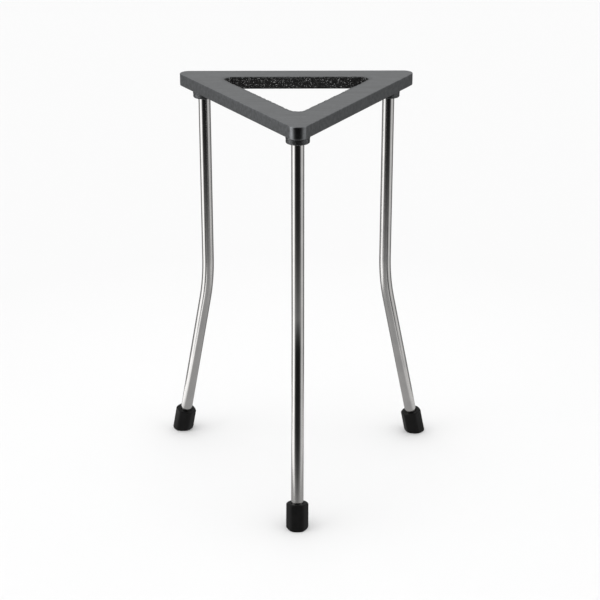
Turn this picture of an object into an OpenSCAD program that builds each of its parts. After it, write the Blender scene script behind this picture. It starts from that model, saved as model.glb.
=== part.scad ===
// Laboratory tripod stand: a triangular cast ring on three bent rods, each rod
// screwed into a boss under a corner of the ring and shod with a hexagonal cap.
// Z is up and the floor is Z = 0. The front leg points along -Y.

/* [Ring] */
// Length of each side of the ring, over its rounded corners
side_length = 125; // [105:1:160]
// Thickness of the ring
ring_thickness = 6.5; // [5.5:0.5:10]
// Width of each bar of the ring
bar_width = 14.4; // [11:0.1:18]
// Radius of the ring's outside corners
corner_radius = 5; // [3:0.5:8]
// Radius of the corners of the triangular opening
opening_radius = 4.4; // [2:0.2:8]
// How far the opening sits behind the middle of the ring
opening_shift = 0.5; // [-1:0.1:1]
// Size of the bevel along the outside edges
edge_bevel = 0.4; // [0.2:0.1:1]
// Height of the ring's top face above the floor
stand_height = 215; // [175:1:260]

/* [Bosses] */
// Iron around each threaded hole, out to the side of its boss
boss_wall = 2.95; // [2:0.05:4]
// Depth of each boss below the ring
boss_depth = 5.3; // [4:0.2:10]
// Distance from the ring's two outer faces to the axis of the leg between them
leg_inset = 9.7; // [8:0.1:12]
// Bevel around the lower rim of each boss
boss_bevel = 0.8; // [0.4:0.1:1.5]
// Iron left above each threaded hole
hole_roof = 2.6; // [1.5:0.1:4]

/* [Legs] */
// Diameter of the leg rod
rod_diameter = 6.5; // [5:0.1:8]
// How much narrower than the rod its threaded stud is
stud_relief = 0.5; // [0.2:0.1:1]
// How far each foot stands outside the top of its leg
leg_spread = 20.9; // [10:0.1:30]
// Height of the bend, where the two straight stretches of a rod would cross
bend_height = 98.3; // [70:0.1:130]
// Bend radius of the rod's axis
bend_radius = 120; // [40:5:200]
// Bevel on the rod's lower end
rod_bevel = 0.6; // [0.2:0.1:1]
// Turn of the front leg in its boss, from pointing straight out, where its thread stopped
front_turn = -1.5; // [-15:0.5:15]
// Turn of the right leg in its boss
right_turn = -11; // [-15:0.5:15]
// Turn of the left leg in its boss
left_turn = -3.5; // [-15:0.5:15]

/* [Feet] */
// Rubber between the rod's socket and the cap's six flats
foot_wall = 2.05; // [1.5:0.05:3]
// Height of the cap, along the rod
foot_height = 13.5; // [10:0.1:20]
// Rubber between the rod's end and the floor, along the rod
foot_base = 3; // [2:0.1:5]
// How much the six corners of the cap are rounded away
foot_corner = 0.35; // [0.1:0.05:0.6]
// Bevel around the cap's upper rim
foot_bevel = 0.8; // [0.2:0.1:1.2]
// Bevel around the edge that the cap stands on
sole_bevel = 0.7; // [0.4:0.1:2]

/* [Fits] */
// Gap all round between the stud and its threaded hole
thread_clearance = 0.05; // [0.02:0.01:0.1]
// Gap between the end of the stud and the end of its hole
stud_end_gap = 0.8; // [0.2:0.1:2]
// Gap all round between the rod and the socket of its cap
socket_clearance = 0.04; // [0.02:0.01:0.1]

/* [Hidden] */
$fn = 96;

// Direction of each corner about the stand's axis, in degrees
front = -90;
right = 30;
left = 150;
corners = [front, right, left];                 // anticlockwise from above

// A 60 degree corner rounded to a radius stops this many radii short of its sharp point
corner_loss = sqrt(3) - 1;
sharp_side = side_length + 2 * corner_loss * corner_radius;
ring_reach = sharp_side / sqrt(3);              // axis to a sharp outside corner
opening_reach = ring_reach - 2 * bar_width;     // axis to a sharp corner of the opening
ring_bottom = stand_height - ring_thickness;
boss_bottom = ring_bottom - boss_depth;

leg_reach = ring_reach - 2 * leg_inset;         // axis of the stand to the top of a leg
foot_reach = leg_reach + leg_spread;            // axis of the stand to the middle of a foot
lean = atan(leg_spread / bend_height);          // lower stretch of a rod, from upright
bend_tangent = bend_radius * tan(lean / 2);     // bend's corner to where it meets a stretch
lower_length = bend_height / cos(lean) - bend_tangent - foot_base;
bend_top = bend_height + bend_tangent;

socket_diameter = rod_diameter + 2 * socket_clearance;
foot_flats = socket_diameter + 2 * foot_wall;   // width of a cap across its flats
foot_radius = foot_flats / 2 / cos(30) - foot_corner;

stud_diameter = rod_diameter - stud_relief;
hole_diameter = stud_diameter + 2 * thread_clearance;
hole_depth = boss_depth + ring_thickness - hole_roof;
stud_length = hole_depth - stud_end_gap;
boss_radius = hole_diameter / 2 + boss_wall;

// The front foot stands twice as far from the stand's axis as the line through the
// other two, so the middle of the footprint is a quarter of the way to the front foot.
axis_y = foot_reach / 4;
cut = 1;                                        // how far a cutter runs past a face
overlap = 0.5;                                  // how far a straight runs into a curve
swell = 0.01;                                   // how far a curve stands proud of its straights,
                                                // so that they cross in clean lines

iron = [0.42, 0.42, 0.43];
steel = [0.75, 0.75, 0.76];
black_rubber = [0.08, 0.08, 0.08];

// Puts a shape that is drawn about the stand's axis at the middle of the footprint
module on_axis() {
    translate([0, axis_y, 0]) children();
}

// Puts a shape that is drawn about a leg's upright axis, bending towards +X, in its boss
module in_boss(direction, turn) {
    on_axis() rotate([0, 0, direction]) translate([leg_reach, 0, 0])
        rotate([0, 0, turn]) children();
}

// Triangle with rounded corners, its sharp corners this far from the middle
module rounded_triangle(reach, radius) {
    centre = reach - 2 * radius;
    polygon([for (a = corners, side = [-60, 60])
        [centre * cos(a) + radius * cos(a + side), centre * sin(a) + radius * sin(a + side)]]);
    for (a = corners)
        translate([centre * cos(a), centre * sin(a)]) circle(r = radius + swell);
}

// Section of the bevel's cutter, for an edge at this distance along X
module bevel_section(edge) {
    polygon([[edge - edge_bevel - cut, cut], [edge + cut, -edge_bevel - cut], [edge + cut, cut]]);
}

// Cutter for a 45 degree bevel along the ring's outside upper edge
module edge_cutter() {
    centre = ring_reach - 2 * corner_radius;
    round_edge = corner_radius + swell;
    straight = sharp_side - 2 * sqrt(3) * corner_radius + 2 * overlap;
    for (a = corners) rotate([0, 0, a]) {
        translate([centre, 0, 0]) rotate([0, 0, -60]) rotate_extrude(angle = 120)
            bevel_section(round_edge);
        // the side opposite this corner
        rotate([0, 0, 180]) translate([0, straight / 2, 0])
            rotate([90, 0, 0]) linear_extrude(straight) bevel_section(ring_reach / 2);
    }
}

// Boss with a bevelled lower rim, standing on the ring's underside
module boss() {
    rotate_extrude()
        polygon([[0, boss_bottom], [boss_radius - boss_bevel, boss_bottom],
                 [boss_radius, boss_bottom + boss_bevel], [boss_radius, ring_bottom + cut],
                 [0, ring_bottom + cut]]);
}

// One casting: the ring, its opening, its three bosses and their threaded holes
module top_frame() {
    color(iron) on_axis() difference() {
        union() {
            translate([0, 0, ring_bottom]) linear_extrude(ring_thickness)
                rounded_triangle(ring_reach, corner_radius);
            for (a = corners) rotate([0, 0, a]) translate([leg_reach, 0, 0]) boss();
        }
        translate([0, opening_shift, ring_bottom - cut]) linear_extrude(ring_thickness + 2 * cut)
            rounded_triangle(opening_reach, opening_radius);
        for (a = corners) rotate([0, 0, a])
            translate([leg_reach, 0, boss_bottom - cut])
                cylinder(d = hole_diameter, h = hole_depth + cut);
        translate([0, 0, stand_height]) edge_cutter();
        translate([0, 0, ring_bottom]) mirror([0, 0, 1]) edge_cutter();
    }
}

// Puts a shape that is drawn along +Z at the middle of a foot, leaning with the rod
module on_foot() {
    translate([leg_spread, 0, 0]) rotate([0, -lean, 0]) children();
}

// Rod: stud, upright stretch, bend and leaning stretch
module leg(direction, turn) {
    r = rod_diameter / 2;
    color(steel) in_boss(direction, turn) {
        translate([0, 0, boss_bottom - cut])
            cylinder(d = stud_diameter, h = stud_length + cut);
        translate([0, 0, bend_top - overlap])
            cylinder(r = r, h = boss_bottom - bend_top + overlap);
        translate([bend_radius, 0, bend_top])
            rotate([90, 0, 0]) rotate([0, 0, 180]) rotate_extrude(angle = lean)
                translate([bend_radius, 0]) circle(r = r + swell);
        on_foot() translate([0, 0, foot_base]) {
            cylinder(r1 = r - rod_bevel, r2 = r, h = rod_bevel);
            translate([0, 0, rod_bevel]) cylinder(r = r, h = lower_length - rod_bevel + overlap);
        }
    }
}

// Hexagonal cap: one flat faces outwards, and it stands level on a bevelled sole
module foot(direction, turn) {
    below = foot_flats;
    color(black_rubber) in_boss(direction, turn) difference() {
        intersection() {
            on_foot() translate([0, 0, -below]) rotate([0, 0, 30])
                cylinder(d = foot_flats / cos(30), h = foot_height + below, $fn = 6);
            on_foot() rotate_extrude()
                polygon([[0, -below], [foot_radius, -below],
                         [foot_radius, foot_height - foot_bevel],
                         [foot_radius - foot_bevel, foot_height], [0, foot_height]]);
            translate([leg_spread, 0, 0])
                cylinder(r1 = foot_radius - sole_bevel, r2 = foot_radius + 2 * foot_height,
                         h = 2 * foot_height + sole_bevel);
        }
        on_foot() translate([0, 0, foot_base])
            cylinder(d = socket_diameter, h = foot_height);
    }
}

module leg_front() { leg(front, front_turn); }
module leg_left() { leg(left, left_turn); }
module leg_right() { leg(right, right_turn); }
module foot_front() { foot(front, front_turn); }
module foot_left() { foot(left, left_turn); }
module foot_right() { foot(right, right_turn); }

top_frame();
leg_front();
leg_left();
leg_right();
foot_front();
foot_left();
foot_right();
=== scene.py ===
# %% [markdown]
# # A laboratory tripod stand
# A flat triangular ring of cast iron stands on three bent steel rods. Each rod is screwed into
# a boss under one corner of the ring, and each rod's lower end wears a hexagonal rubber cap.
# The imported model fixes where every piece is. This notebook gives each piece its real surface:
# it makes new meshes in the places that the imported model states, then the finishes, then a
# small studio.

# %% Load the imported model
import math

import bpy
import numpy as np
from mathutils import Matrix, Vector


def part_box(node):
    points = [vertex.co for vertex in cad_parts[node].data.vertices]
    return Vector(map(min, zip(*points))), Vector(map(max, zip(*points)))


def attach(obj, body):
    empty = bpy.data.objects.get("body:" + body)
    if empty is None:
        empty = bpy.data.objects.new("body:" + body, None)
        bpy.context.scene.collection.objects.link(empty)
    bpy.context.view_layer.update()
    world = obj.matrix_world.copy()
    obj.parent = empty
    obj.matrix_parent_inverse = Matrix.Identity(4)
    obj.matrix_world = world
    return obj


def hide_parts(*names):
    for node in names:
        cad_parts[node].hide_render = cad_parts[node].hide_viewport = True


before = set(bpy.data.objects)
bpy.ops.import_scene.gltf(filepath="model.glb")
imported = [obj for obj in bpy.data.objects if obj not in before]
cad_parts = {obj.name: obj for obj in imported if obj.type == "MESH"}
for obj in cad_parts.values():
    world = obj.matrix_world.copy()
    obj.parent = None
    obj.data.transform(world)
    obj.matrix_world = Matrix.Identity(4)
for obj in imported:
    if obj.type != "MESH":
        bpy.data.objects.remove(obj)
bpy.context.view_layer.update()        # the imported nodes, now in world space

MM = 0.001
print("nodes:", ", ".join(sorted(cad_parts)))

# %% [markdown]
# ## Sizes
# A stand like this is drawn from a few dimensions. The outer ones are read from the packed
# model's boxes, so that they can't drift from it. What a box doesn't tell, such as the width
# of a bar or the radius of a corner, is a named value here, in millimetres.

# %% Sizes of the ring, rods and caps
ring_low, ring_high = (np.array(corner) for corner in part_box("top_frame"))
CORNERS = {"front": -90, "right": 30, "left": 150}     # directions of the ring's corners, degrees
TURNS = {"front": -1.5, "right": -11, "left": -3.5}    # each leg's turn in its thread, degrees

corner_radius = 5 * MM
opening_radius = 4.4 * MM
opening_shift = 0.5 * MM      # how far the opening sits behind the middle of the ring
bar_width = 14.4 * MM
ring_thickness = 6.5 * MM
edge_round = 0.4 * MM
leg_inset = 9.7 * MM          # from a ring face to a leg's axis

ring_top = ring_high[2]
ring_bottom = ring_top - ring_thickness
boss_bottom = ring_low[2]
side_length = ring_high[0] - ring_low[0]
ring_reach = (side_length + 2 * (math.sqrt(3) - 1) * corner_radius) / math.sqrt(3)
opening_reach = ring_reach - 2 * bar_width
leg_reach = ring_reach - 2 * leg_inset
stand_axis = np.array([0, ring_high[1] - ring_reach / 2])

rod_radius = 3.25 * MM
stud_radius = 3.0 * MM
stud_length = 8.4 * MM
leg_spread = 20.9 * MM        # how far a foot stands outside the top of its leg
bend_height = 98.3 * MM
bend_radius = 120 * MM
lean = math.atan(leg_spread / bend_height)

cap_height = 13.5 * MM
cap_base = 3 * MM             # rubber under the rod's end
cap_half_flats = 5.34 * MM    # from the cap's axis to each of its six flats
cap_corner = 5.816 * MM       # from the cap's axis to each rounded corner
socket_radius = 3.29 * MM

print(f"ring: side {side_length / MM:.1f} mm, top at {ring_top / MM:.1f} mm, "
      f"legs {leg_reach / MM:.1f} mm from the axis, leaning {math.degrees(lean):.1f} degrees")

# %% [markdown]
# ## One way to make every surface
# Each piece here is a closed surface over a grid of points: one direction of the grid goes
# round the piece, the other goes along it. It could be modelled by hand from primitives, but a
# grid that is worked out from formulas keeps its quads even, its seams shut and its outside
# facing out. The helper below turns such a grid into a mesh in one step.


# %% Helper: a mesh from a grid of points
def unit(angle):
    """Points on the unit circle at these angles in radians: (cosine, sine)."""
    return np.stack([np.cos(angle), np.sin(angle)], axis=-1)


def skin(name, points, ring=False, along=None):
    """Mesh over a grid of shape (rows, columns, 3).

    Each row is a closed loop that runs anticlockwise as seen from the end that later rows lead
    to. With ring=True the last row joins the first, as on a ring. Otherwise each end is closed
    by a fan of triangles round the middle of its row. along gives each row's distance along
    the piece, for a UV map whose U runs along it and V runs round it.
    """
    rows, columns, _ = points.shape
    index = np.arange(rows * columns).reshape(rows, columns)
    lower = index if ring else index[:-1]
    upper = np.roll(index, -1, axis=0) if ring else index[1:]
    quads = np.stack([lower, np.roll(lower, -1, 1), np.roll(upper, -1, 1), upper], -1)
    vertices = points.reshape(-1, 3)
    faces = quads.reshape(-1, 4).tolist()
    if not ring:
        vertices = np.vstack([vertices, points[0].mean(0), points[-1].mean(0)])
        first, last = index[0], index[-1]
        pole = np.full(columns, rows * columns)
        faces += np.stack([pole, np.roll(first, -1), first], -1).tolist()
        faces += np.stack([pole + 1, last, np.roll(last, -1)], -1).tolist()
    mesh = bpy.data.meshes.new(name)
    mesh.from_pydata(vertices.tolist(), [], faces)
    if along is not None:
        column = np.arange(columns) / columns
        step = 1 / columns
        low, high = np.array(along)[:-1, None], np.array(along)[1:, None]
        u = np.stack(np.broadcast_arrays(low, low, high, high), -1) + 0 * column[None, :, None]
        v = column[None, :, None] + np.array([0, step, step, 0]) + 0 * low[..., None]
        quad_uv = np.stack([u, v], -1).reshape(-1, 2)
        fan_uv = np.zeros((3 * columns, 2))
        start_uv, end_uv = fan_uv + [along[0], 0.5], fan_uv + [along[-1], 0.5]
        layer = mesh.uv_layers.new(name="along_rod")
        layer.data.foreach_set("uv", np.vstack([quad_uv, start_uv, end_uv]).ravel())
    mesh.shade_smooth()
    mesh.update()
    piece = bpy.data.objects.new(name, mesh)
    bpy.context.scene.collection.objects.link(piece)
    return piece


def report(piece, node=None):
    """Prints a piece's triangles and volume, and how far its box is from its CAD node's.

    The volume is a sixth of the sum, over the triangles, of the first corner's dot product
    with the cross product of the other two.
    """
    mesh = piece.data
    mesh.calc_loop_triangles()
    corners = np.empty(len(mesh.loop_triangles) * 3, np.int32)
    mesh.loop_triangles.foreach_get("vertices", corners)
    points = np.empty(len(mesh.vertices) * 3)
    mesh.vertices.foreach_get("co", points)
    a, b, c = points.reshape(-1, 3)[corners].reshape(-1, 3, 3).transpose(1, 0, 2)
    volume = np.einsum("ij,ij->i", a, np.cross(b, c)).sum() / 6
    line = f"{piece.name}: {len(a)} triangles, {volume / MM ** 3:.1f} mm3"
    if node:
        box = np.array([points.reshape(-1, 3).min(0), points.reshape(-1, 3).max(0)])
        miss = np.abs(box - np.array([list(corner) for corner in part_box(node)])).max()
        line += f", box within {miss / MM:.2f} mm of {node}"
    print(line)


# %% [markdown]
# ## The ring
# The real ring is a grey iron casting whose top, underside and outer sides are ground flat,
# while the wall of its opening is left as it came from the sand. Sculpting that wall would be
# slow and would stretch. Here the ring is one closed grid: round the triangle one way, and
# round the bar's section the other way. The rough wall is simply a band of rows pushed in and
# out by seeded noise, the edges are rows on a quarter circle, and the quarter circle at the
# opening's upper rim changes its size from column to column, so that the rim is ragged.


# %% Outlines of a rounded triangle
def outline(reach, radius, shift=0, corner_steps=36, side_steps=270):
    """A rounded triangle's points and outward normals, anticlockwise from above.

    Each corner is a third of a circle about a point at reach minus two radii from the axis.
    Each side is a straight line from the end of one arc to the start of the next. The whole
    is then moved back by shift.
    """
    corner = np.radians(list(CORNERS.values()))
    centre = (reach - 2 * radius) * unit(corner)
    sweep = corner[:, None] + np.radians(np.linspace(-60, 60, corner_steps))
    arcs = centre[:, None] + radius * unit(sweep)
    start, end = arcs[:, -1], np.roll(arcs[:, 0], -1, axis=0)
    share = np.linspace(0, 1, side_steps + 1)[1:-1][:, None]
    sides = start[:, None] * (1 - share) + end[:, None] * share
    facing = unit(corner + np.radians(60))[:, None] + 0 * sides
    points = np.concatenate([arcs, sides], axis=1).reshape(-1, 2) + stand_axis + [0, shift]
    normals = np.concatenate([unit(sweep), facing], axis=1).reshape(-1, 2)
    return points, normals


def band(edge, offset, height):
    """Rows of an outline moved out along its normals by offset, at height.

    offset and height are one number a row, or one a row and column.
    """
    points, normals = edge
    offset = np.reshape(offset, (len(offset), -1, 1))
    height = np.reshape(height, (len(height), -1, 1))
    flat = points + normals * offset
    return np.concatenate([flat, np.broadcast_to(height, flat.shape[:2] + (1,))], axis=-1)


def between(first, last, shares):
    """Rows that go evenly from the row first to the row last, at these shares of the way."""
    shares = np.reshape(shares, (-1, 1, 1))
    return first * (1 - shares) + last * shares


# %% Helper: seeded grain that closes on itself
def grain(shape, size, seed):
    """Smooth random heights of about one unit, on a grid that wraps in both directions.

    White noise is blurred by a bell curve, size cells wide each way, by multiplying its
    Fourier transform by the curve's own, and is then brought to unit spread.
    """
    noise = np.random.default_rng(seed).standard_normal(shape)
    down, across = np.meshgrid(*(np.fft.fftfreq(n) for n in shape), indexing="ij")
    blur = np.exp(-2 * math.pi ** 2 * ((down * size[0]) ** 2 + (across * size[1]) ** 2))
    smooth = np.fft.ifft2(np.fft.fft2(noise) * blur).real
    return smooth / smooth.std()


# %% The ring's own surface
outer = outline(ring_reach, corner_radius)
inner = outline(opening_reach, opening_radius, opening_shift)
columns = len(outer[0])

wall_rows = 30                         # rows down the wall of the opening
sand_depth = 0.12                      # millimetres: how far the sand's grains push it in
grain_depth = 0.06                     # millimetres: how much they differ, coarse and fine alike
quarter = np.radians(np.linspace(0, 90, 6))
ragged = np.clip(grain((1, columns), (0, 1.4), seed=3), -1, 2.6)
rim = (0.42 + 0.22 * ragged) * MM      # radius of the opening's upper rim, one a column
foot_rim = 0.35 * MM                   # radius of the opening's lower rim

outer_wall = band(outer, np.zeros(5),
                  np.linspace(ring_bottom + edge_round, ring_top - edge_round, 5))
top_edge = band(outer, -edge_round * (1 - np.cos(quarter[1:])),
                ring_top - edge_round * (1 - np.sin(quarter[1:])))
rim_edge = band(inner, rim * (1 - np.sin(quarter))[:, None],
                ring_top - rim * (1 - np.cos(quarter))[:, None])
top_face = between(top_edge[-1], rim_edge[0], np.linspace(0, 1, 9)[1:-1])

# sand grains, and a slower waviness, both fading out where the wall meets the two rims
coarse = grain((wall_rows, columns), (2.2, 3.5), seed=5)
fine = grain((wall_rows, columns), (0.7, 0.9), seed=7)
fade = np.sin(np.linspace(0, math.pi, wall_rows))[:, None] ** 0.35
sand = (sand_depth + grain_depth * coarse + grain_depth * fine) * fade * MM
wall_height = np.linspace(0, 1, wall_rows)[:, None]
wall_start, wall_end = ring_top - rim, ring_bottom + foot_rim
inner_wall = band(inner, sand, wall_start + (wall_end - wall_start) * wall_height)
foot_edge = band(inner, foot_rim * (1 - np.cos(quarter[1:])),
                 ring_bottom + foot_rim * (1 - np.sin(quarter[1:])))
bottom_edge = band(outer, -edge_round * (1 - np.sin(quarter[:-1])),
                   ring_bottom + edge_round * (1 - np.cos(quarter[:-1])))
underside = between(foot_edge[-1], bottom_edge[0], np.linspace(0, 1, 7)[1:-1])

# each band's rows, and how much of the sand's skin is left on it: 0 is ground, 1 is as cast
bands = [(outer_wall, 0), (top_edge, 0), (top_face, 0), (rim_edge, 0.75), (inner_wall[1:], 1),
         (foot_edge, 0.6), (underside, 0), (bottom_edge, 0)]
casting = skin("ring_casting", np.concatenate([rows for rows, _ in bands]), ring=True)
rough = np.concatenate([np.full(rows.shape[:2], skin_left) for rows, skin_left in bands])

# the grinder took more skin off the upper rim in one place than in the next
rim_start = sum(len(rows) for rows, _ in bands[:3])
rim_skin = np.clip(0.62 + 0.38 * grain((1, columns), (0, 1.1), seed=11), 0, 1)
rough[rim_start:rim_start + len(rim_edge)] = rim_skin
rough[rim_start] = 0.2                 # its edge with the top face is nearly clean
mask = casting.data.attributes.new("as_cast", "FLOAT", "POINT")
mask.data.foreach_set("value", rough.ravel().astype(np.float32))
print(f"ring's grid: {len(rough)} rows of {columns} points, rim {rim.min() / MM:.2f} to "
      f"{rim.max() / MM:.2f} mm, sand {sand.min() / MM:.2f} to {sand.max() / MM:.2f} mm in")
report(casting)

# %% [markdown]
# ## Bosses and their threaded holes
# Under each corner stands a turned boss with a rounded lower rim, a fine raised line and a
# threaded blind hole. A boss is a profile turned about the leg's axis. The hole is the stud's
# own thread, a clearance larger, so that the two mate. Boolean modifiers add the bosses to the
# casting and cut the holes, because a casting is one piece of iron with one skin.

# %% A turned profile and a thread
thread_pitch = 1.0 * MM
thread_depth = 0.5 * MM


def turned(radii, heights, steps=64):
    """Rows of circles: a profile of radii and heights turned about the Z axis.

    A radius may also be one number a row and column.
    """
    angle = np.linspace(0, 2 * math.pi, steps, endpoint=False)
    radii = np.reshape(radii, (len(heights), -1, 1))
    circle = radii * unit(angle)[None]
    height = np.broadcast_to(np.reshape(heights, (-1, 1, 1)), circle.shape[:2] + (1,))
    return np.concatenate([circle, height], axis=-1)


def threaded(heights, start, crest, steps=64):
    """Radii of a screw thread, one a height and step round.

    The depth below the crest is a triangle wave of height over pitch less one turn a turn,
    with its crests and roots cut flat, and it fades in over the first half pitch.
    """
    turn = np.arange(steps) / steps
    phase = (np.reshape(heights, (-1, 1)) - start) / thread_pitch - turn
    wave = np.abs(2 * (phase - np.floor(phase)) - 1)
    fade_in = np.clip((np.reshape(heights, (-1, 1)) - start) / (0.5 * thread_pitch), 0, 1)
    return crest - thread_depth * np.clip(1.3 * wave - 0.12, 0, 1) * fade_in


# %% Three bosses, joined to the ring
boss_radius = 6.0 * MM
boss_round = np.array([0.5, 0.6]) * MM        # the rounded lower rim: how far in, how far up
boss_line = 2.4 * MM                          # height of the raised line round each boss
line_proud = 0.1 * MM                         # how far the line stands out
boss_flare = 0.7 * MM                         # hollow fillet where the boss meets the ring
hole_clearance = 0.05 * MM
hole_depth = 9.2 * MM
overrun = 1 * MM                              # how far a shell runs past the face it is joined at

rim_angle = np.radians(np.linspace(0, 90, 9))
flare_angle = np.radians(np.linspace(0, 65, 7))
boss_profile = np.array(
    list(zip(boss_radius - boss_round[0] * (1 - np.sin(rim_angle)),
             boss_bottom + boss_round[1] * (1 - np.cos(rim_angle))))
    + [(boss_radius - 0.4 * line_proud, boss_bottom + boss_line - line_proud),
       (boss_radius + line_proud, boss_bottom + boss_line),
       (boss_radius + line_proud, boss_bottom + boss_line + 2 * line_proud),
       (boss_radius, boss_bottom + boss_line + 4 * line_proud)]
    + list(zip(boss_radius + boss_flare * (1 - np.cos(flare_angle)),
               ring_bottom - boss_flare + boss_flare * np.sin(flare_angle)))
    + [(boss_radius + boss_flare * 0.7, ring_bottom + overrun)])
hole_heights = np.arange(boss_bottom, boss_bottom + hole_depth, thread_pitch / 8)
hole_radii = threaded(hole_heights, boss_bottom + 0.5 * MM, stud_radius + hole_clearance)
mouth = np.full((1, hole_radii.shape[1]), stud_radius + hole_clearance)
hole_points = turned(np.vstack([mouth, hole_radii]),
                     np.concatenate([[boss_bottom - overrun], hole_heights]))


def leg_top(corner):
    """Where a leg's axis meets the ring, in the floor plan."""
    return stand_axis + leg_reach * unit(math.radians(CORNERS[corner]))


def joined(name, grids):
    """One mesh with a separate closed shell for each grid."""
    shells = [skin(f"{name}_{i}", grid) for i, grid in enumerate(grids)]
    with bpy.context.temp_override(active_object=shells[0], selected_editable_objects=shells):
        bpy.ops.object.join()
    shells[0].name = name
    return shells[0]


def placed(grid, corner):
    """A grid drawn about the Z axis, moved onto a leg's upright axis."""
    return grid + np.append(leg_top(corner), 0)


boss_grid = turned(boss_profile[:, 0], boss_profile[:, 1])
bosses = joined("bosses", [placed(boss_grid, corner) for corner in CORNERS])
boss_skin = 0.5        # turned, but not as clean as the ring's ground faces
half_cast = bosses.data.attributes.new("as_cast", "FLOAT", "POINT")
half_cast.data.foreach_set("value", np.full(len(bosses.data.vertices), boss_skin, np.float32))
holes = joined("holes", [placed(hole_points, corner) for corner in CORNERS])
for tool, operation in ((bosses, "UNION"), (holes, "DIFFERENCE")):
    cut = casting.modifiers.new(operation.lower(), "BOOLEAN")
    cut.operation = operation
    cut.solver = "MANIFOLD"
    cut.object = tool
bpy.context.view_layer.update()
with_bosses = casting.evaluated_get(bpy.context.evaluated_depsgraph_get())
finished = bpy.data.meshes.new_from_object(with_bosses)
casting.modifiers.clear()
casting.data = finished
for tool in (bosses, holes):
    bpy.data.objects.remove(tool)
casting.data.set_sharp_from_angle(angle=math.radians(32))
report(casting, "top_frame")

# %% [markdown]
# ## The rods
# Each leg is a bright drawn rod: a threaded stud, an upright stretch, a bend and a leaning
# stretch. A curve object with a bevel would draw the tube, but not its thread or its bevelled
# end. So the rod is a circle carried along a path, with a radius that may change with the
# distance along the path and with the angle round it.


# %% A rod along its bent path
def rod_path(distance):
    """Points and leans of a rod's axis at these distances above its lower end.

    The rod rises at its lean to the bend, turns upright on an arc, and goes straight up.
    X points the way the leg spreads, and the path starts above the middle of the foot.
    """
    tangent = bend_radius * math.tan(lean / 2)
    lower = bend_height / math.cos(lean) - tangent - cap_base
    arc = np.clip((distance - lower) / bend_radius, 0, lean)
    turned_lean = lean - arc
    straight = np.minimum(distance, lower)
    above = np.maximum(distance - lower - bend_radius * lean, 0)
    x = (leg_spread - (cap_base + straight) * math.sin(lean)
         - bend_radius * (np.cos(turned_lean) - math.cos(lean)))
    z = ((cap_base + straight) * math.cos(lean)
         + bend_radius * (math.sin(lean) - np.sin(turned_lean)) + above)
    return x, z, turned_lean


def along_path(x, z, turned_lean, radii):
    """Circles of these radii across the path: cosine across in its plane, sine sideways."""
    steps = radii.shape[1]
    angle = np.linspace(0, 2 * math.pi, steps, endpoint=False)
    across, sideways = radii * np.cos(angle), radii * np.sin(angle)
    tilt = turned_lean[:, None]
    return np.stack([x[:, None] + across * np.cos(tilt), sideways,
                     z[:, None] + across * np.sin(tilt)], axis=-1)


def in_boss(points, corner):
    """Turns points drawn about a leg's upright axis, and moves them under their corner."""
    heading = math.radians(CORNERS[corner] + TURNS[corner])
    c, s = math.cos(heading), math.sin(heading)
    turn = np.array([[c, s, 0], [-s, c, 0], [0, 0, 1]])
    return points @ turn + np.append(leg_top(corner), 0)


# %% The rod's profile: bevelled end, plain rod, shoulder and thread
rod_steps = 72
rod_end_bevel = 0.6 * MM
shoulder_bevel = 0.12 * MM       # where the rod meets its boss
stud_bevel = 0.75 * MM           # the stud's pointed end
plain_stud = 0.5 * MM            # stud without thread at the shoulder, and bevelled at its end
lower_stretch = bend_height / math.cos(lean) - bend_radius * math.tan(lean / 2) - cap_base
rod_length = (lower_stretch + bend_radius * lean
              + boss_bottom - bend_height - bend_radius * math.tan(lean / 2))
plain = np.concatenate([
    np.linspace(rod_end_bevel, lower_stretch, 60, endpoint=False),
    lower_stretch + np.linspace(0, bend_radius * lean, 24, endpoint=False),
    np.linspace(lower_stretch + bend_radius * lean, rod_length - 0.15 * MM, 60)])
stud_heights = rod_length + np.arange(0.02 * MM, stud_length - plain_stud, thread_pitch / 12)
distance = np.concatenate([[0], plain, [rod_length - 0.01 * MM, rod_length], stud_heights,
                           [rod_length + stud_length]])
round_rod = np.ones(rod_steps)
rod_radii = np.vstack([
    (rod_radius - rod_end_bevel) * round_rod,
    np.outer(np.full(len(plain), rod_radius), round_rod),
    (rod_radius - shoulder_bevel) * round_rod,
    stud_radius * round_rod,
    threaded(stud_heights, rod_length + plain_stud, stud_radius, rod_steps),
    (stud_radius - stud_bevel) * round_rod])
print(f"rod: {distance[-1] / MM:.1f} mm along its axis, {len(distance)} rows")
rods = {}
for corner in CORNERS:
    points = in_boss(along_path(*rod_path(distance), rod_radii), corner)
    rods[corner] = skin(f"rod_{corner}", points, along=distance)
    rods[corner].data.set_sharp_from_angle(angle=math.radians(35))
    report(rods[corner], f"leg_{corner}")

# %% [markdown]
# ## The rubber caps
# A cap is moulded rubber: six flats with softly rounded corners, a top rim and a sole whose
# edges are rounded in to a circle, and a blind socket that grips the rod. It leans with the
# rod, yet its sole lies flat on the floor. A bevelled six-sided cylinder would have corners
# that are too sharp, so the outline is a smooth hexagon, and each height of the cap has its
# own rule for how far out and how high each point lies.


# %% A cap as a function of angle and row
sole_circle = 5.0 * MM        # radius of the part of the sole that is flat on the floor
rim_circle = 4.95 * MM        # radius of the top face, inside the rounded rim
lip = 0.25 * MM               # radius of the rounding at the socket's mouth


def soft_hexagon(angle):
    """Distance from the axis to a hexagon with soft corners, one flat facing angle 0.

    The six flats' cosines are combined as a power mean, so that a flat alone gives its own
    distance and two flats together give a rounded corner. The power is the one that puts the
    corners at their stated distance.
    """
    sharp = cap_half_flats / math.cos(math.radians(30))
    power = math.log(2) / math.log(sharp / cap_corner)
    flats = np.radians(np.arange(6) * 60)[:, None]
    cosines = np.maximum(np.cos(angle - flats), 0)
    return cap_half_flats / (cosines ** power).sum(0) ** (1 / power)


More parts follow.
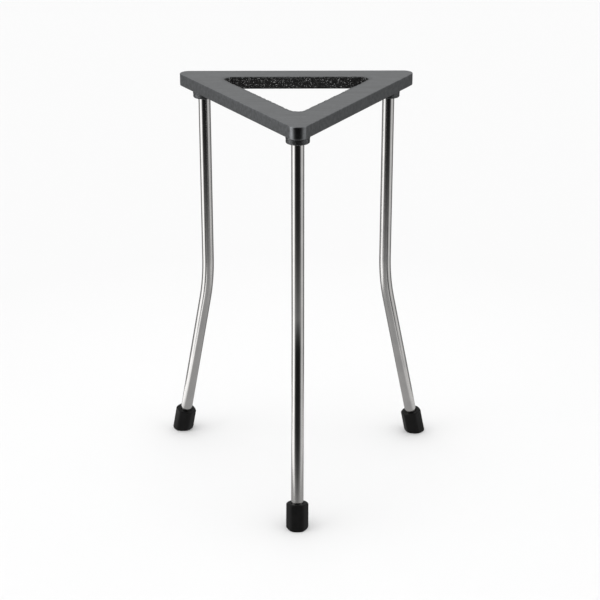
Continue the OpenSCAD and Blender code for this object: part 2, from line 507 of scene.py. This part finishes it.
def cap_points(steps=96):
    """Rows from the middle of the sole, up the outside, over the rim and down the socket.

    The sole's rows are level. From there each row's height along the cap's axis goes evenly
    from its level value to the same value all round, which is square to the axis at the rim.
    """
    angle = np.linspace(0, 2 * math.pi, steps, endpoint=False)
    hexagon = soft_hexagon(angle)
    quarter_turn = np.radians(np.linspace(0, 90, 9))[:, None]

    def level(out, height):
        """Distance along the leaning axis at which points this far out have this height."""
        return (height - out * np.cos(angle) * math.sin(lean)) / math.cos(lean)

    sole_in = hexagon - sole_circle
    sole_out = hexagon - sole_in * (1 - np.sin(quarter_turn))
    sole_up = level(sole_out, 1.05 * sole_in * (1 - np.cos(quarter_turn)))
    flat_out = np.array([[0.25], [0.5], [0.75], [0.93]]) * sole_out[0]
    flat_up = level(flat_out, 0)

    rim_in = hexagon - rim_circle
    rim_out = hexagon - rim_in * (1 - np.cos(quarter_turn))
    rim_up = cap_height - rim_in * (1 - np.sin(quarter_turn))
    share = np.linspace(0, 1, 26)[1:-1, None]
    side_out = hexagon + 0 * share
    side_up = sole_up[-1] * (1 - share) + rim_up[0] * share

    face = np.linspace(0, 1, 5)[1:-1, None]
    lip_out = socket_radius + lip * (1 - np.sin(quarter_turn)) + 0 * angle
    lip_up = cap_height - lip * (1 - np.cos(quarter_turn)) + 0 * angle
    face_out = rim_out[-1] * (1 - face) + lip_out[0] * face
    wall_up = np.linspace(cap_height - lip, cap_base, 12)[1:, None] + 0 * angle
    wall_out = socket_radius + 0 * wall_up

    out = np.vstack([flat_out, sole_out, side_out, rim_out, face_out, lip_out, wall_out])
    up = np.vstack([flat_up, sole_up, side_up, rim_up, cap_height + 0 * face_out, lip_up, wall_up])
    across, sideways = out * np.cos(angle), out * np.sin(angle)
    return np.stack([leg_spread + across * math.cos(lean) - up * math.sin(lean), sideways,
                     across * math.sin(lean) + up * math.cos(lean)], axis=-1)


# %% Three caps
caps = {}
for corner in CORNERS:
    caps[corner] = skin(f"cap_{corner}", in_boss(cap_points(), corner))
    caps[corner].data.set_sharp_from_angle(angle=math.radians(50))
    report(caps[corner], f"foot_{corner}")

# %% [markdown]
# ## Each piece rides on the model
# A piece that stands for an imported node replaces it and moves with its body.

# %% Tie the pieces to the imported model
for piece, node, slot in ([(casting, "top_frame", "casting")]
                          + [(rods[corner], f"leg_{corner}", "rod") for corner in CORNERS]
                          + [(caps[corner], f"foot_{corner}", "foot") for corner in CORNERS]):
    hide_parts(node)
    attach(piece, "root")
    print(f"{piece.name} stands for {node}")

# %% [markdown]
# ## Finishes
# A finish is a small network: what varies over the surface is worked out from noise at the
# real scale of the grain, and feeds colour, roughness and a fine bump. What is the same all
# over is set on the shader itself.


# %% Helpers for node networks
class Finish:
    """A new material with its shader, and short calls that add and join nodes."""

    def __init__(self, name):
        self.material = bpy.data.materials.new(name)
        self.material.use_nodes = True
        self.tree = self.material.node_tree
        self.shader = self.tree.nodes["Principled BSDF"]
        self.coordinates = self.node("ShaderNodeTexCoord").outputs["Object"]

    def node(self, kind, links=(), **settings):
        """A node with these settings. links are (input, output it takes) pairs."""
        made = self.tree.nodes.new(kind)
        for key, value in settings.items():
            setattr(made, key, value)
        for socket, source in links:
            self.join(source, made.inputs[socket])
        return made

    def join(self, source, socket):
        """Links an output to an input, or sets the input if the source is a plain value."""
        if isinstance(source, bpy.types.NodeSocket):
            self.tree.links.new(source, socket)
        else:
            socket.default_value = source

    def noise(self, size, detail=3, source=None, roughness=0.55):
        """Noise whose features are about this many metres across."""
        made = self.node("ShaderNodeTexNoise", [("Vector", source or self.coordinates),
                                                ("Scale", 1 / size), ("Detail", detail),
                                                ("Roughness", roughness)])
        return made.outputs["Fac"]

    def spread(self, source, low, high, from_low=0.3, from_high=0.7):
        """Takes values from one range to another, and holds them inside it."""
        made = self.node("ShaderNodeMapRange",
                         [("Value", source), ("From Min", from_low), ("From Max", from_high),
                          ("To Min", low), ("To Max", high)])
        return made.outputs["Result"]

    def mix(self, share, first, second):
        """Colour that goes from first to second by share."""
        made = self.node("ShaderNodeMix", data_type="RGBA")
        for name, value in (("Factor", share), ("A", first), ("B", second)):
            index = [i for i, s in enumerate(made.inputs) if s.name == name and s.enabled][0]
            self.join(value, made.inputs[index])
        return [s for s in made.outputs if s.enabled][0]

    def combine(self, operation, first, second):
        """Arithmetic on two values."""
        made = self.node("ShaderNodeMath", operation=operation)
        self.join(first, made.inputs[0])
        self.join(second, made.inputs[1])
        return made.outputs["Value"]

    def bump(self, height, depth, strength=1.0, under=None):
        """Bump of this depth in metres, on top of another."""
        made = self.node("ShaderNodeBump", [("Height", height), ("Distance", depth),
                                            ("Strength", strength)])
        if under is not None:
            self.join(under, made.inputs["Normal"])
        return made.outputs["Normal"]

    def put_on(self, *pieces):
        """Gives pieces this material alone."""
        for piece in pieces:
            piece.data.materials.clear()
            piece.data.materials.append(self.material)
        names = ", ".join(piece.name for piece in pieces)
        print(f"{self.material.name}: {len(self.tree.nodes)} nodes, on {names}")


def grey(value, warmth=0.0):
    """A grey, a little warmer or cooler."""
    return (value * (1 + warmth), value, value * (1 - warmth), 1)


# %% [markdown]
# ### Ground and as-cast iron
# Grinding leaves the iron cool grey and satin, with a fine grain, a slight mottle and faint
# strokes that all run one way. The wall of the opening is sand-cast: nearly black, dull and
# pitted, with bright grains where the skin was broken; these bright grains are also painted
# glints, white in the colour itself. The attribute painted on the mesh says
# which is which. The turned bosses, painted half way, are as metallic as the ground faces and
# darker. Noise at the grain's own scale does this better than a painted map, because it can't
# stretch or repeat.

# %% Finish of the casting
iron = Finish("ground_iron")
as_cast = iron.node("ShaderNodeAttribute", attribute_name="as_cast").outputs["Fac"]
mottle = iron.noise(1.6 * MM, 6, roughness=0.7)
speck = iron.noise(0.16 * MM, 2)
stroke = iron.noise(1, 3, iron.node("ShaderNodeMapping", [
    ("Vector", iron.coordinates), ("Rotation", (0, 0, math.radians(35))),
    ("Scale", (0.07 / MM, 0.7 / MM, 0.5 / MM))]).outputs["Vector"])
ground = iron.mix(iron.spread(mottle, 0, 1, 0.35, 0.65),
                  grey(0.170, -0.035), grey(0.24, -0.035))
ground = iron.mix(iron.spread(stroke, 0.5, 0, 0.35, 0.6), ground, grey(0.12, -0.02))
ground = iron.mix(iron.spread(speck, 0, 0.3, 0.35, 0.75), ground, grey(0.29, -0.02))
skin_tone = iron.mix(iron.spread(iron.noise(0.9 * MM, 3), 0, 1), grey(0.003), grey(0.022))
# bright specks on the as-cast wall: broken skin, and painted glints whose white is in the colour
bright = iron.spread(iron.noise(0.4 * MM, 2), 0, 1, 0.655, 0.685)
cast_skin_and_glints = iron.mix(bright, skin_tone, grey(0.85))
iron.join(iron.mix(as_cast, ground, cast_skin_and_glints), iron.shader.inputs["Base Color"])
rougher = iron.combine("MULTIPLY", as_cast, 0.3)
iron.join(iron.combine("ADD", iron.spread(mottle, 0.31, 0.36), rougher),
          iron.shader.inputs["Roughness"])
iron.join(iron.spread(as_cast, 1, 0.35, 0.5, 1), iron.shader.inputs["Metallic"])
satin = iron.bump(speck, 0.01 * MM, 0.6)
pits = iron.bump(iron.noise(0.3 * MM, 4), 0.12 * MM, 0.5, satin)
ground_or_cast = iron.node("ShaderNodeMix", data_type="VECTOR")
FACTOR, VECTOR_A, VECTOR_B, VECTOR_OUT = 0, 4, 5, 1      # a vector mix node's sockets
for index, value in ((FACTOR, as_cast), (VECTOR_A, satin), (VECTOR_B, pits)):
    iron.join(value, ground_or_cast.inputs[index])
iron.join(ground_or_cast.outputs[VECTOR_OUT], iron.shader.inputs["Normal"])
iron.put_on(casting)

# %% [markdown]
# ### Drawn steel
# A drawn and centreless-ground rod is bright, and its finest scratches run round it. They
# smear reflections along the rod, so it shows long clean stripes. That is anisotropy: the
# shader's tangent follows the UV map's U, which runs along the rod.

# %% Finish of the rods
steel = Finish("drawn_steel")
wrapped = steel.node("ShaderNodeUVMap", uv_map="along_rod").outputs["UV"]
lines = steel.node("ShaderNodeMapping", [("Vector", wrapped), ("Scale", (9, 60, 1))])
draw_lines = steel.noise(1, 3, lines.outputs["Vector"])
cloud = steel.noise(9 * MM, 3)
steel.join(steel.mix(steel.spread(cloud, 0, 1), grey(0.56, 0.015), grey(0.62, 0.02)),
           steel.shader.inputs["Base Color"])
steel.join(steel.spread(draw_lines, 0.13, 0.16), steel.shader.inputs["Roughness"])
steel.shader.inputs["Metallic"].default_value = 1
steel.shader.inputs["Anisotropic"].default_value = 0.7
steel.join(steel.node("ShaderNodeTangent", direction_type="UV_MAP",
                      uv_map="along_rod").outputs["Tangent"], steel.shader.inputs["Tangent"])
steel.join(steel.bump(draw_lines, 0.002 * MM, 0.5), steel.shader.inputs["Normal"])
steel.put_on(*rods.values())

# %% [markdown]
# ### Moulded rubber
# Black rubber is matt, not quite even, and faintly pebbled by its mould.

# %% Finish of the caps
rubber = Finish("moulded_rubber")
bloom = rubber.noise(2.5 * MM, 4)
pebble = rubber.noise(0.25 * MM, 3)
rubber.join(rubber.mix(rubber.spread(bloom, 0, 1), grey(0.004, 0.03), grey(0.007, 0.03)),
            rubber.shader.inputs["Base Color"])
rubber.join(rubber.spread(bloom, 0.42, 0.52), rubber.shader.inputs["Roughness"])
rubber.shader.inputs["Specular IOR Level"].default_value = 0.15
rubber.join(rubber.bump(pebble, 0.03 * MM, 0.6), rubber.shader.inputs["Normal"])
rubber.put_on(*caps.values())

# %% [markdown]
# ## The studio
# A white floor runs out of sight under a bright sky. It is matt, and mirror-like surfaces
# don't see it, because they get a floor of their own below.

# %% Floor
floor_drop = 0.02 * MM        # just under the soles, so that no two faces share a plane
disc = turned(np.array([0.1, 1, 12]), np.full(3, -floor_drop), 96)


def stage_mesh(name, points):
    """A single-sided stage surface over a grid whose rows are closed loops, with one fan."""
    rows, columns, _ = points.shape
    index = np.arange(rows * columns).reshape(rows, columns)
    lower, upper = index[:-1], index[1:]
    quads = np.stack([upper, np.roll(upper, -1, 1), np.roll(lower, -1, 1), lower], -1)
    mesh = bpy.data.meshes.new(name)
    mesh.from_pydata(points.reshape(-1, 3).tolist(), [],
                     quads.reshape(-1, 4).tolist() + [index[0].tolist()])
    thing = bpy.data.objects.new(name, mesh)
    bpy.context.scene.collection.objects.link(thing)
    return thing


floor = stage_mesh("floor", disc)
white = Finish("white_floor")       # whiter near the stand than far from it: painted light that lifts the stand's soft shadow
reach = white.node("ShaderNodeVectorMath", [("Vector", white.coordinates)],
                   operation="LENGTH").outputs["Value"]
white.join(white.mix(white.spread(reach, 0, 1, 0.1, 0.35), grey(0.84), grey(0.792)),
           white.shader.inputs["Base Color"])
white.shader.inputs["Roughness"].default_value = 0.9
white.shader.inputs["Specular IOR Level"].default_value = 0
white.put_on(floor)
floor.visible_glossy = False

# %% [markdown]
# ### A tent for the metal
# Bright metal shows whatever stands round it, so a studio puts a tent of white walls and dark
# flags round it. Here the tent is a drum that only mirror-like surfaces see: dark towards the
# camera, with a bright wall at the left, a dimmer one at the right and a grey back. It glows
# by heading, so it gives the rods the same clean stripes at every height.


# %% Helpers for light that only metal sees
def only_mirrored(thing):
    """Leaves a stage piece visible to glossy reflections alone."""
    thing.visible_camera = False
    thing.visible_diffuse = False
    thing.visible_shadow = False
    thing.visible_transmission = False
    thing.visible_volume_scatter = False


def glowing(name, build):
    """A material that only gives light: build makes its strength from the coordinates."""
    glow = Finish(name)
    glow.tree.nodes.remove(glow.shader)
    lamp = glow.node("ShaderNodeEmission")
    glow.join(build(glow), lamp.inputs["Strength"])
    output = [n for n in glow.tree.nodes if n.type == "OUTPUT_MATERIAL"][0]
    glow.join(lamp.outputs["Emission"], output.inputs["Surface"])
    return glow.material


def ramp(finish, source, stops):
    """Brightness by position: stops are (position from 0 to 1, brightness) pairs."""
    made = finish.node("ShaderNodeValToRGB", [("Fac", source)])
    made.color_ramp.interpolation = "LINEAR"
    while len(made.color_ramp.elements) < len(stops):
        made.color_ramp.elements.new(0.5)
    for element, (position, value) in zip(made.color_ramp.elements, stops):
        element.position = position
        element.color = (value, value, value, 1)
    return made.outputs["Color"]


def heading_share(glow, place):
    """Direction about the Z axis: 0 and 1 are the back, a half is towards the camera."""
    forward = glow.combine("MULTIPLY", place["Y"], -1)
    return glow.spread(glow.combine("ARCTAN2", place["X"], forward), 0, 1, -math.pi, math.pi)


# %% The tent
# brightness by heading, in degrees from the camera's side: minus is left, plus is right
TENT_WALLS = [
    (-180, 0.26), (-125, 0.28), (-104, 0.5),                    # grey back
    (-96, 1.7), (-70, 1.7), (-59, 0.9), (-50, 0.2),             # bright wall at the left
    (-40, 0.05), (-20, 0.012), (20, 0.012), (37, 0.05),         # dark flag towards the camera
    (50, 0.15), (60, 0.7), (98, 0.8),                           # dimmer wall at the right
    (106, 0.32), (125, 0.22), (180, 0.26)]                      # grey back
TENT_SKY = [(-180, 0.42), (-70, 0.42), (-50, 0), (50, 0), (70, 0.42), (180, 0.42)]
SKY_STARTS, SKY_FULL = 0.4, 1.1                                 # metres above the floor


def by_heading(glow, share, stops):
    """Brightness by heading: stops are (degrees from the camera's side, brightness) pairs.

    A ramp holds no more than 1, so it carries a quarter of the brightness.
    """
    quarters = ramp(glow, share, [((degrees + 180) / 360, value / 4) for degrees, value in stops])
    return glow.combine("MULTIPLY", quarters, 4)


def tent_light(glow):
    """Walls by heading, and above them a sky that is bright except towards the camera."""
    place = glow.node("ShaderNodeSeparateXYZ", [("Vector", glow.coordinates)]).outputs
    share = heading_share(glow, place)
    walls = by_heading(glow, share, TENT_WALLS)
    sky = by_heading(glow, share, TENT_SKY)
    height = glow.spread(place["Z"], 0, 1, SKY_STARTS, SKY_FULL)
    return glow.combine("ADD", walls, glow.combine("MULTIPLY", sky, height))


tent_profile = np.array([(1, 3.6), (2.2, 3.2), (3, 2.2), (3, 0.5), (3, -2.5), (0.01, -2.5)])
tent = stage_mesh("light_tent", turned(tent_profile[:, 0], tent_profile[:, 1], 96))
tent.data.materials.append(glowing("tent_walls", tent_light))
only_mirrored(tent)
print(f"tent: {2 * tent_profile[:, 0].max():.1f} m across, {tent_profile[:, 1].max():.1f} m high")

# %% [markdown]
# ### A pool of light for the metal
# Near their feet the leaning rods show the floor in front of the stand. It fades into the dark
# towards the camera, as a floor does under soft lamps, and it is brightest beside the feet.

# %% The pool
POOL_FRONT, POOL_BACK = -0.8, 0.1        # metres along Y
# brightness of the pool by Y, from the front edge to the back
POOL_FADE = [(-0.8, 0.005), (-0.6, 0.010), (-0.5, 0.020), (-0.42, 0.045), (-0.34, 0.12),
             (-0.27, 0.26), (-0.2, 0.35), (-0.07, 0.43), (0.1, 0.47)]
LEFT_GAIN, RIGHT_GAIN = 2.4, 0.7         # how much more the side walls light the floor there


def floor_light(glow):
    """The floor in front of the stand as metal sees it.

    It fades towards the camera, and close beside the feet it is lit by the two side walls.
    """
    place = glow.node("ShaderNodeSeparateXYZ", [("Vector", glow.coordinates)]).outputs
    length = POOL_BACK - POOL_FRONT
    fade = ramp(glow, glow.spread(place["Y"], 0, 1, POOL_FRONT, POOL_BACK),
                [((y - POOL_FRONT) / length, value) for y, value in POOL_FADE])
    left = glow.spread(place["X"], LEFT_GAIN, 0, -0.115, -0.085)
    right = glow.spread(place["X"], 0, RIGHT_GAIN, 0.085, 0.115)
    close = glow.spread(place["Y"], 0, 1, -0.19, -0.14)
    gain = glow.combine("MULTIPLY", glow.combine("ADD", left, right), close)
    return glow.combine("MULTIPLY", fade, glow.combine("ADD", gain, 1))


# six corners, narrow behind and wide in front, and two smaller copies of them about a middle
pool_half = np.array([[-0.14, POOL_BACK], [-0.16, -0.13], [-0.62, POOL_FRONT]])
pool_rim = np.vstack([pool_half, pool_half[::-1] * [-1, 1]])
pool_middle = np.array([0, -0.3])
pool_rows = np.array([0.2, 0.6, 1])[:, None, None] * (pool_rim - pool_middle) + pool_middle
pool_drop = 0.03 * MM         # just under the floor
pool = stage_mesh("light_pool",
                  np.pad(pool_rows, ((0, 0), (0, 0), (0, 1)), constant_values=-pool_drop))
pool.data.materials.append(glowing("floor_pool", floor_light))
only_mirrored(pool)
print(f"pool: Y from {POOL_FRONT} to {POOL_BACK} m, {-pool_drop / MM:.2f} mm high")

# %% [markdown]
# ### Lamps and sky
# Three very wide lamps, one overhead and one at each side, give the soft shadows. They are far
# off, so that the floor is as bright in one place as in the next, and the sky fills the rest.


# %% Lamps and the sky
def soft_lamp(name, toward, spread, strength):
    """A very wide lamp, far off in this direction, its spread in degrees.

    Mirror-like surfaces don't see it: they have the tent.
    """
    lamp = bpy.data.lights.new(name, "SUN")
    lamp.angle = math.radians(spread)
    lamp.energy = strength
    thing = bpy.data.objects.new(name, lamp)
    thing.rotation_euler = Vector(toward).to_track_quat("Z", "Y").to_euler()
    thing.visible_glossy = False
    bpy.context.scene.collection.objects.link(thing)
    print(f"{name}: {spread} degrees wide, strength {strength}")


soft_lamp("overhead_lamp", (-0.2, 0.4, 1.4), 80, 0.62)
soft_lamp("left_lamp", (-1.1, -0.3, 0.5), 50, 0.42)
soft_lamp("right_lamp", (1.1, -0.2, 0.5), 50, 0.17)

world = bpy.data.worlds.new("studio_air")
bpy.context.scene.world = world
world.use_nodes = True
sky = world.node_tree.nodes["Background"]
sky.inputs["Color"].default_value = (1, 1, 1, 1)
sky.inputs["Strength"].default_value = 0.96        # as bright as the far floor looks

# %% [markdown]
# ## The camera
# A long lens stands a little less than a metre in front and looks down on the ring, so that
# its opening shows and the front leg stays upright in the picture.

# %% Camera
camera_place = (-6.4 * MM, -818.3 * MM, 437.7 * MM)
camera_pitch = 22.14          # degrees below level
camera_turn = -0.550          # degrees, a hair to the right
focal_length = 99.55          # in millimetres, behind a frame 36 mm wide
lens = bpy.data.cameras.new("camera")
lens.sensor_width = 36
lens.lens = focal_length
camera = bpy.data.objects.new("camera", lens)
camera.location = camera_place
camera.rotation_euler = [math.radians(a) for a in (90 - camera_pitch, 0, camera_turn)]
bpy.context.scene.collection.objects.link(camera)
bpy.context.scene.camera = camera
bpy.context.scene.view_settings.view_transform = "Standard"
print(f"camera: {camera_place[2] / MM:.0f} mm up, looking {camera_pitch} degrees down")
